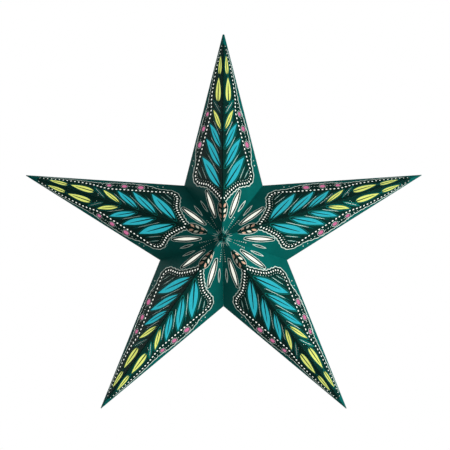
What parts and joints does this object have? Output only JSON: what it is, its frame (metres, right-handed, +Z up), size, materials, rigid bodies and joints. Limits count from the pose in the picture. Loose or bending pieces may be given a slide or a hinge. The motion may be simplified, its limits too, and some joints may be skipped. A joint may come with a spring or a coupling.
{
  "type": "paper star lantern",
  "caption": "Folding paper star lantern with pierced card arms and coloured tissue windows; its seam opens so that it folds flat like a fan.",
  "frame": {"origin": "centre of the cord hole in the tip of the top arm, by which the star hangs", "axes": "+Z up along the top arm; +Y from the front point to the back point, so the front faces -Y; +X to the right as seen from the front"},
  "size_m": [0.5956, 0.1978, 0.5652],
  "materials": {
    "card": "satin printed card with silver line work",
    "tissue": "matt translucent tissue, turquoise with yellow, pink and white patches",
    "fastener_pad": "matt hook and loop pile"
  },
  "bodies": {
    "left_ccw_back": {"left_ccw_back_card": "card", "left_ccw_back_tissue": "tissue"},
    "left_ccw_front": {"left_ccw_front_card": "card", "left_ccw_front_tissue": "tissue"},
    "left_cw_back": {"left_cw_back_card": "card", "left_cw_back_tissue": "tissue"},
    "left_cw_front": {"left_cw_front_card": "card", "left_cw_front_tissue": "tissue"},
    "lower_left_ccw_back": {"lower_left_ccw_back_card": "card", "lower_left_ccw_back_tissue": "tissue", "seam_back_inner_loop_pad": "fastener_pad", "seam_back_outer_loop_pad": "fastener_pad", "seam_left_back_flange": "card"},
    "lower_left_ccw_front": {"lower_left_ccw_front_card": "card", "lower_left_ccw_front_tissue": "tissue", "seam_front_inner_loop_pad": "fastener_pad", "seam_front_outer_loop_pad": "fastener_pad", "seam_left_front_flange": "card"},
    "lower_left_cw_back": {"lower_left_cw_back_card": "card", "lower_left_cw_back_tissue": "tissue"},
    "lower_left_cw_front": {"lower_left_cw_front_card": "card", "lower_left_cw_front_tissue": "tissue"},
    "lower_right_ccw_back": {"lower_right_ccw_back_card": "card", "lower_right_ccw_back_tissue": "tissue"},
    "lower_right_ccw_front": {"lower_right_ccw_front_card": "card", "lower_right_ccw_front_tissue": "tissue"},
    "lower_right_cw_back": {"lower_right_cw_back_card": "card", "lower_right_cw_back_tissue": "tissue", "seam_back_inner_hook_pad": "fastener_pad", "seam_back_outer_hook_pad": "fastener_pad", "seam_right_back_flange": "card"},
    "lower_right_cw_front": {"lower_right_cw_front_card": "card", "lower_right_cw_front_tissue": "tissue", "seam_front_inner_hook_pad": "fastener_pad", "seam_front_outer_hook_pad": "fastener_pad", "seam_right_front_flange": "card"},
    "right_ccw_back": {"right_ccw_back_card": "card", "right_ccw_back_tissue": "tissue"},
    "right_ccw_front": {"right_ccw_front_card": "card", "right_ccw_front_tissue": "tissue"},
    "right_cw_back": {"right_cw_back_card": "card", "right_cw_back_tissue": "tissue"},
    "right_cw_front": {"right_cw_front_card": "card", "right_cw_front_tissue": "tissue"},
    "top_ccw_back": {"top_ccw_back_card": "card", "top_ccw_back_tissue": "tissue"},
    "top_ccw_front": {"top_ccw_front_card": "card", "top_ccw_front_tissue": "tissue"},
    "top_cw_back": {"top_cw_back_card": "card", "top_cw_back_tissue": "tissue"},
    "top_cw_front": {"top_cw_front_card": "card", "top_cw_front_tissue": "tissue"}
  },
  "joints": [
    {"name": "top_to_right_valley_fold", "type": "hinge", "parent": "top_cw_front", "child": "right_ccw_front", "pos_m": [0.00043, -0.10074, -0.31109], "axis": [-0.4169, -0.705, -0.5738], "range_deg": [0, 115.3]},
    {"name": "left_ccw_edge_fold", "type": "hinge", "parent": "left_ccw_front", "child": "left_ccw_back", "pos_m": [-0.29972, 0, -0.21366], "axis": [-0.8464, 0, 0.5325], "range_deg": [0, 73.38]},
    {"name": "left_ridge_fold", "type": "hinge", "parent": "left_cw_front", "child": "left_ccw_front", "pos_m": [0.00022, -0.09926, -0.31176], "axis": [0.9066, -0.3021, -0.2946], "range_deg": [0, 76.39]},
    {"name": "left_cw_edge_fold", "type": "hinge", "parent": "left_cw_front", "child": "left_cw_back", "pos_m": [-0.3001, 0, -0.21482], "axis": [0.9978, 0, -0.0667], "range_deg": [0, 73.38]},
    {"name": "left_to_top_valley_fold", "type": "hinge", "parent": "top_ccw_front", "child": "left_cw_front", "pos_m": [-0.00043, -0.10074, -0.31109], "axis": [-0.4169, 0.705, 0.5738], "range_deg": [0, 115.3]},
    {"name": "lower_left_ccw_edge_fold", "type": "hinge", "parent": "lower_left_ccw_front", "child": "lower_left_ccw_back", "pos_m": [-0.18585, 0, -0.56645], "axis": [-0.768, 0, -0.6404], "range_deg": [0, 73.38]},
    {"name": "lower_left_ridge_fold", "type": "hinge", "parent": "lower_left_cw_front", "child": "lower_left_ccw_front", "pos_m": [0.00014, -0.09926, -0.3115], "axis": [0.5603, -0.3021, 0.7712], "range_deg": [0, 76.39]},
    {"name": "lower_left_cw_edge_fold", "type": "hinge", "parent": "lower_left_cw_front", "child": "lower_left_cw_back", "pos_m": [-0.18486, 0, -0.56717], "axis": [0.3718, 0, 0.9283], "range_deg": [0, 73.38]},
    {"name": "lower_left_to_left_valley_fold", "type": "hinge", "parent": "left_ccw_front", "child": "lower_left_cw_front", "pos_m": [-0.0007, -0.10074, -0.31191], "axis": [-0.6745, 0.705, -0.2192], "range_deg": [0, 115.3]},
    {"name": "lower_right_ccw_edge_fold", "type": "hinge", "parent": "lower_right_ccw_front", "child": "lower_right_ccw_back", "pos_m": [0.18486, 0, -0.56717], "axis": [0.3718, 0, -0.9283], "range_deg": [0, 73.38]},
    {"name": "right_to_lower_right_valley_fold", "type": "hinge", "parent": "right_cw_front", "child": "lower_right_ccw_front", "pos_m": [0.0007, -0.10074, -0.31191], "axis": [-0.6745, -0.705, 0.2192], "range_deg": [0, 115.3]},
    {"name": "lower_right_cw_edge_fold", "type": "hinge", "parent": "lower_right_cw_front", "child": "lower_right_cw_back", "pos_m": [0.18585, 0, -0.56645], "axis": [-0.768, 0, 0.6404], "range_deg": [0, 73.38]},
    {"name": "lower_right_ridge_fold", "type": "hinge", "parent": "lower_right_ccw_front", "child": "lower_right_cw_front", "pos_m": [-0.00014, -0.09926, -0.3115], "axis": [0.5603, 0.3021, -0.7712], "range_deg": [0, 76.39]},
    {"name": "right_ccw_edge_fold", "type": "hinge", "parent": "right_ccw_front", "child": "right_ccw_back", "pos_m": [0.3001, 0, -0.21482], "axis": [0.9978, 0, 0.0667], "range_deg": [0, 73.38]},
    {"name": "right_cw_edge_fold", "type": "hinge", "parent": "right_cw_front", "child": "right_cw_back", "pos_m": [0.29972, 0, -0.21366], "axis": [-0.8464, 0, -0.5325], "range_deg": [0, 73.38]},
    {"name": "right_ridge_fold", "type": "hinge", "parent": "right_ccw_front", "child": "right_cw_front", "pos_m": [-0.00022, -0.09926, -0.31176], "axis": [0.9066, 0.3021, 0.2946], "range_deg": [0, 76.39]},
    {"name": "top_ccw_edge_fold", "type": "hinge", "parent": "top_ccw_front", "child": "top_ccw_back", "pos_m": [0.00061, 0, 0.00366], "axis": [0.2449, 0, 0.9696], "range_deg": [0, 73.38]},
    {"name": "top_ridge_fold", "type": "hinge", "parent": "top_cw_front", "child": "top_ccw_front", "pos_m": [0, -0.09926, -0.31192], "axis": [0, -0.3021, -0.9533], "range_deg": [0, 76.39]},
    {"name": "top_cw_edge_fold", "type": "hinge", "parent": "top_cw_front", "child": "top_cw_back", "pos_m": [-0.00061, 0, 0.00366], "axis": [0.2449, 0, -0.9696], "range_deg": [0, 73.38]}
  ],
  "couplings": [
    {"joint": "left_ccw_edge_fold", "follows": "top_to_right_valley_fold", "ratio": 0.63644},
    {"joint": "left_ridge_fold", "follows": "top_to_right_valley_fold", "ratio": 0.66252},
    {"joint": "left_cw_edge_fold", "follows": "top_to_right_valley_fold", "ratio": 0.63644},
    {"joint": "left_to_top_valley_fold", "follows": "top_to_right_valley_fold", "ratio": 1},
    {"joint": "lower_left_ccw_edge_fold", "follows": "top_to_right_valley_fold", "ratio": 0.63644},
    {"joint": "lower_left_ridge_fold", "follows": "top_to_right_valley_fold", "ratio": 0.66252},
    {"joint": "lower_left_cw_edge_fold", "follows": "top_to_right_valley_fold", "ratio": 0.63644},
    {"joint": "lower_left_to_left_valley_fold", "follows": "top_to_right_valley_fold", "ratio": 1},
    {"joint": "lower_right_ccw_edge_fold", "follows": "top_to_right_valley_fold", "ratio": 0.63644},
    {"joint": "right_to_lower_right_valley_fold", "follows": "top_to_right_valley_fold", "ratio": 1},
    {"joint": "lower_right_cw_edge_fold", "follows": "top_to_right_valley_fold", "ratio": 0.63644},
    {"joint": "lower_right_ridge_fold", "follows": "top_to_right_valley_fold", "ratio": 0.66252},
    {"joint": "right_ccw_edge_fold", "follows": "top_to_right_valley_fold", "ratio": 0.63644},
    {"joint": "right_cw_edge_fold", "follows": "top_to_right_valley_fold", "ratio": 0.63644},
    {"joint": "right_ridge_fold", "follows": "top_to_right_valley_fold", "ratio": 0.66252},
    {"joint": "top_ccw_edge_fold", "follows": "top_to_right_valley_fold", "ratio": 0.63644},
    {"joint": "top_ridge_fold", "follows": "top_to_right_valley_fold", "ratio": 0.66252},
    {"joint": "top_cw_edge_fold", "follows": "top_to_right_valley_fold", "ratio": 0.63644}
  ]
}
